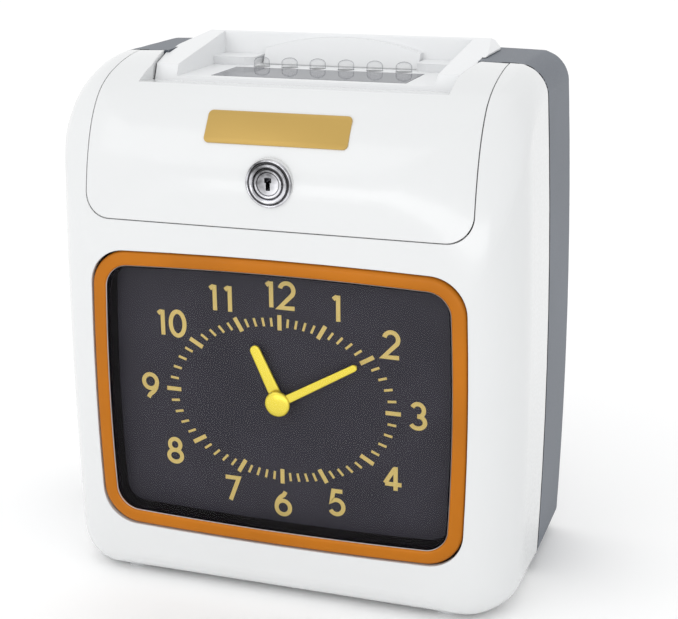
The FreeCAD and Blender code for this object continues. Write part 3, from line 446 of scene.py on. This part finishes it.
BEZEL_HALF, BEZEL_TALL, BEZEL_CORNER, BEZEL_BOW = 99.7, 76.5, 19.0, 2.0
BEZEL_CORNER_STEPS, BEZEL_SIDE_STEPS = 16, 14
QUARTERS = ((1, 1, 0), (-1, 1, 90), (-1, -1, 180), (1, -1, 270))     # side, rise, first degree

# Sections of the frame and of the white ring of painted highlight along the pane's edge, as (inset
# from the outline, depth).
BEZEL_SECTION = ((0.0, 9.4), (0.0, 2.2), (0.17, 1.36), (0.64, 0.64), (1.36, 0.17), (2.2, 0.0),
                 (4.8, 0.0), (5.9, 0.0), (6.5, 0.1), (7.0, 0.35), (7.3, 0.7), (7.4, 1.2),
                 (6.5, 1.2), (6.5, 9.4))
PANE_HIGHLIGHT_SECTION = ((7.42, 0.6), (7.52, 0.7), (7.52, 1.2), (7.42, 1.2))


def bezel_outline(inset, depth):
    """The rounded, slightly bowed outline of the dial frame, offset inwards by inset."""
    half, tall, radius = BEZEL_HALF - inset, BEZEL_TALL - inset, BEZEL_CORNER - inset
    corners = [arc(side * (half - radius), rise * (tall - radius), radius, radius,
                   first, first + 90, BEZEL_CORNER_STEPS) for side, rise, first in QUARTERS]
    line = []
    for i, corner in enumerate(corners):
        line += corner + between(corner[-1], corners[(i + 1) % 4][0], BEZEL_SIDE_STEPS)
    return [at(x - BEZEL_BOW * (z / tall) ** 2 * x / half, depth,
               DIAL_HEIGHT + z - BEZEL_BOW * (x / half) ** 2 * z / tall) for x, z in line]


def make_bezel():
    """Rounded front edges, a lip over the rebate that holds the clear pane, and a white ring of
    painted highlight along the pane's edge.
    """
    piece = swept("bezel_frame", [bezel_outline(inset, depth) for inset, depth in BEZEL_SECTION],
                  "bezel_bronze", "case", SHARP_FRAME)
    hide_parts("bezel")
    # A white ring just inside the lip paints the highlight that the clear pane's edge catches.
    swept("pane_edge_highlight", [bezel_outline(inset, depth) for inset, depth in PANE_HIGHLIGHT_SECTION],
          "guide_white", "case", SHARP_FRAME)


# ---------------------------------------------------------------- hands

CAP_RADIUS, CAP_RIM, CAP_DOME, CAP_HOLE = 6.7, 5.0, 1.4, 0.02
CAP_FLARE, CAP_FLARE_DEPTH, CAP_BACK = 6.75, 5.1, 5.2


def make_hand_cap():
    """The polished cap over the hand arbor: a low dome on a short rim."""
    turns = [math.radians(a) for a in range(84, -1, -6)]
    profile = [(CAP_HOLE, CAP_RIM - CAP_DOME)]
    profile += [(CAP_RADIUS * math.cos(t), CAP_RIM - CAP_DOME * math.sin(t)) for t in turns]
    profile += [(CAP_FLARE, CAP_FLARE_DEPTH), (CAP_RADIUS, CAP_BACK), (CAP_HOLE, CAP_BACK)]
    piece = lathed("hand_cap_dome", profile, DIAL_HEIGHT, "hand_gold", "minute", 64, SHARP_CAP)
    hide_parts("hand_cap")


# ---------------------------------------------------------------- cover lock

RIM_RADIUS, RIM_ROUND, RIM_FRONT = 11.15, 0.65, -0.75

# The flange's section as (radius, depth): its neck and back face, then its front from the rim in.
FLANGE_BACK = ((8.95, 22.0), (8.95, -0.1), (11.8, -0.1))
FLANGE_FRONT = ((10.45, -0.3), (9.75, -0.3), (9.65, -1.9), (9.35, -2.3), (8.9, -2.4), (8.5, -2.3),
                (8.0, -1.9), (7.7, -1.2), (7.6, -0.6), (7.1, -0.6), (7.0, -1.8), (6.7, -2.05),
                (6.1, -2.0), (5.75, -1.6), (5.75, 22.0))

# Black rings of painted shade at the bottom of the flange's two grooves, as (name, inner radius,
# outer radius, front depth).
GROOVE_SHADES = (("lock_groove_shade_outer", 9.78, 10.42, -0.75), ("lock_groove_shade_inner", 7.13, 7.57, -1.0))
GROOVE_THICK, GROOVE_CROWN = 0.4, 0.08


def make_lock():
    """A turned flange: a rounded rim, a groove, then a bevel that runs down to the plug; black
    rings in its grooves paint the shade there.
    """
    turns = [math.radians(a) for a in range(0, 181, 20)]
    rim = [(RIM_RADIUS + RIM_ROUND * math.cos(t), RIM_FRONT - RIM_ROUND * math.sin(t))
           for t in turns]
    piece = lathed("lock_flange", [*FLANGE_BACK, *rim, *FLANGE_FRONT], LOCK_HEIGHT, "chrome",
                   "cover")
    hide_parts("lock_barrel")
    # Black rings sunk in the two grooves are painted shade at the groove bottoms.
    for name, inner, outer, front in GROOVE_SHADES:
        back = front + GROOVE_THICK
        ring = [(inner, back), (outer, back), (outer, front),
                ((inner + outer) / 2, front - GROOVE_CROWN), (inner, front)]
        lathed(name, ring, LOCK_HEIGHT, "black_plastic", "cover")


# ---------------------------------------------------------------- seam between the case halves, with painted shade in its gap

SEAM_FRONT, SEAM_WIDTH, SEAM_PROUD, SEAM_SUNK = 72.3, 1.5, 0.012, 0.5
HALF_WIDTH, CASE_LOW, SEAM_TOP, TOP_CORNER, BOTTOM_CORNER = 124.4, 2.6, 275.35, 15.0, 11.0
BULGE_RADIUS, BULGE_HEIGHT, ROOF_CROWN, COVER_EDGE = 2700.0, 107.0, 2.0, 100.5
SEAM_CORNERS = ((1, SEAM_TOP, -1, TOP_CORNER, 90), (1, CASE_LOW, 1, BOTTOM_CORNER, 0),
                (-1, CASE_LOW, 1, BOTTOM_CORNER, 270), (-1, SEAM_TOP, -1, TOP_CORNER, 180))
SEAM_CORNER_STEPS, SEAM_SIDE_STEPS = 12, 20


def seam_outline(grow):
    """The case's outline at the seam, clockwise from the cover's right edge to its left edge."""
    line = [(COVER_EDGE, SEAM_TOP + grow)]
    for side, height, inward, radius, first in SEAM_CORNERS:
        turned = arc(side * (HALF_WIDTH - radius), height + inward * radius, radius + grow,
                     radius + grow, first, first - 90, SEAM_CORNER_STEPS)
        line += between(line[-1], turned[0], SEAM_SIDE_STEPS) + turned
    line.append((-COVER_EDGE, SEAM_TOP + grow))
    bent = []
    for x, z in line:
        lean = (z - BULGE_HEIGHT) ** 2 / (2 * BULGE_RADIUS)
        rise = max((z - CASE_LOW) / (SEAM_TOP - CASE_LOW), 0.0)
        crown = ROOF_CROWN * (x / HALF_WIDTH) ** 2 * rise ** 2
        bent.append((x - lean * x / HALF_WIDTH, z - crown))
    return bent


def make_seam_strip():
    """A narrow black strip of painted shade where the white half meets the grey one, standing in
    for the shadow in the gap, open along the cover.
    """
    back = SEAM_FRONT + SEAM_WIDTH
    sections = []
    for outer, inner in zip(seam_outline(SEAM_PROUD), seam_outline(-SEAM_SUNK)):
        sections.append([at(outer[0], SEAM_FRONT, outer[1]), at(outer[0], back, outer[1]),
                         at(inner[0], back, inner[1]), at(inner[0], SEAM_FRONT, inner[1])])
    # The black strip paints the shadow in the gap between the case halves.
    swept("seam_shade_strip", sections, "liner_black", "case", ring=False)


# ---------------------------------------------------------------- plaque on the cover

PLAQUE_LEFT, PLAQUE_RIGHT, PLAQUE_FRONT, PLAQUE_BACK = -36.0, 38.0, 5.4, 15.0
PLAQUE_CORNER, PLAQUE_CORNER_STEPS, PLAQUE_SHARP = 2.5, 6, 30.0
PLAQUE_PROUD, PLAQUE_SUNK = 0.7, 0.4

# Its rounded edge from the bottom up, as (inset, lift from the cover).
PLAQUE_EDGE = ((0.0, -PLAQUE_SUNK), (0.0, PLAQUE_PROUD - 0.25), (0.1, PLAQUE_PROUD - 0.08),
               (0.3, PLAQUE_PROUD))


def brow_point(turn, lift):
    """Depth and height on the cover's rounded brow at an angle back from its front, lifted off."""
    centre = CASE_TOP - CROWN_RADIUS + math.sqrt((CROWN_RADIUS - BROW_RADIUS) ** 2 -
                                                 (CROWN_DEPTH - BROW_RADIUS) ** 2)
    reach = BROW_RADIUS + lift
    return BROW_RADIUS - reach * math.cos(turn), centre + reach * math.sin(turn)


def plaque_outline(inset, lift):
    """The plaque's rounded outline, wrapped round the brow."""
    front, back = (math.acos(1 - d / BROW_RADIUS) for d in (PLAQUE_FRONT, PLAQUE_BACK))
    half_tall = BROW_RADIUS * (back - front) / 2
    middle, half = (PLAQUE_LEFT + PLAQUE_RIGHT) / 2, (PLAQUE_RIGHT - PLAQUE_LEFT) / 2
    radius = PLAQUE_CORNER - inset
    points = []
    for side, rise, first in QUARTERS:
        for x, s in arc(side * (half - PLAQUE_CORNER), rise * (half_tall - PLAQUE_CORNER),
                        radius, radius, first, first + 90, PLAQUE_CORNER_STEPS):
            depth, height = brow_point(front + (s + half_tall) / BROW_RADIUS, lift)
            points.append(at(middle + x, depth, height))
    return points


def make_plaque():
    """A thin blank name plate that follows the brow, with rounded corners and edges."""
    rings = [plaque_outline(inset, lift) for inset, lift in PLAQUE_EDGE]
    count, quarter = len(rings[0]), PLAQUE_CORNER_STEPS + 1
    verts = [point for ring in rings for point in ring]
    faces = tube_faces(len(rings), count, False)
    for first in (0, len(verts) - count):
        upper = [*range(quarter - 1, -1, -1), *range(count - 1, 3 * quarter - 1, -1)]
        lower = range(quarter, 3 * quarter)
        for k in range(2 * quarter - 1):
            faces.append(tuple(first + n for n in (upper[k], upper[k + 1], lower[k + 1], lower[k])))
    add_mesh("cover_plaque", verts, faces, "plaque_gold", "cover", PLAQUE_SHARP)


# ---------------------------------------------------------------- camera, floor and light

CAMERA_PLACE = (251.23, -698.36, 368.54)
AZIMUTH, ELEVATION, ROLL = 18.835, 17.148, -0.414
LENS, SENSOR = 76.78, 36.0
SKY = 1.08
FLOOR_REACH, FLOOR_ROUGH, FLOOR_NOISE = 6.0, 0.7, 3.0
FLOOR_DARK, FLOOR_LIGHT = (0.95, 0.95, 0.95), (0.97, 0.97, 0.97)

# Name, place and target in metres, size in metres, power in watts.
MIDDLE = (0.0, 0.0, 0.14)
LIGHTS = (("key", (-0.9, -1.3, 1.1), MIDDLE, (1.2, 1.0), 3.0),
          ("low", (0.1, -1.5, 0.12), (0.0, 0.0, 0.05), (1.6, 0.3), 3.5),
          ("top", (0.0, 0.1, 1.6), MIDDLE, (1.4, 1.0), 0.8))


def set_camera():
    azimuth, elevation, roll = (math.radians(a) for a in (AZIMUTH, ELEVATION, ROLL))
    back = Vector((math.sin(azimuth) * math.cos(elevation),
                   -math.cos(azimuth) * math.cos(elevation), math.sin(elevation)))
    right = (-back).cross(Vector((0, 0, 1))).normalized()
    up = right.cross(-back)
    turned_right = right * math.cos(roll) + up * math.sin(roll)
    turned_up = up * math.cos(roll) - right * math.sin(roll)
    turned = Matrix((turned_right, turned_up, back)).transposed().to_4x4()
    data = bpy.data.cameras.new("camera")
    data.lens, data.sensor_width = LENS, SENSOR
    camera = bpy.data.objects.new("camera", data)
    camera.matrix_world = Matrix.Translation(Vector(CAMERA_PLACE) * MM) @ turned
    bpy.context.scene.collection.objects.link(camera)
    bpy.context.scene.camera = camera


def panel_light(name, place, target, size, power):
    data = bpy.data.lights.new(name, "AREA")
    data.shape = "RECTANGLE"
    data.size, data.size_y = size
    data.energy = power
    item = bpy.data.objects.new(name, data)
    item.location = place
    item.rotation_euler = (Vector(target) - Vector(place)).to_track_quat("-Z", "Y").to_euler()
    bpy.context.scene.collection.objects.link(item)


def make_floor():
    mesh = bpy.data.meshes.new("floor")
    corners = ((-1, -1, 0), (1, -1, 0), (1, 1, 0), (-1, 1, 0))
    mesh.from_pydata([Vector(corner) * FLOOR_REACH for corner in corners], [], [(0, 1, 2, 3)])
    t = Tree("floor")
    t.link(t.mix(t.noise(FLOOR_NOISE), FLOOR_DARK, FLOOR_LIGHT), t.shader.inputs["Base Color"])
    t.shader.inputs["Roughness"].default_value = FLOOR_ROUGH
    mesh.materials.append(t.material)
    floor = bpy.data.objects.new("floor", mesh)
    bpy.context.scene.collection.objects.link(floor)


def make_studio():
    """A plain white surround, three weak panels and a pale floor."""
    world = bpy.data.worlds.new("studio")
    world.use_nodes = True
    background = world.node_tree.nodes["Background"]
    background.inputs["Color"].default_value = (1.0, 1.0, 1.0, 1.0)
    background.inputs["Strength"].default_value = SKY
    bpy.context.scene.world = world
    bpy.context.scene.view_settings.view_transform = "Standard"
    for light in LIGHTS:
        panel_light(*light)
    make_floor()


set_camera()
make_studio()
make_dial_print()
make_bezel()
make_hand_cap()
make_lock()
make_seam_strip()
make_plaque()
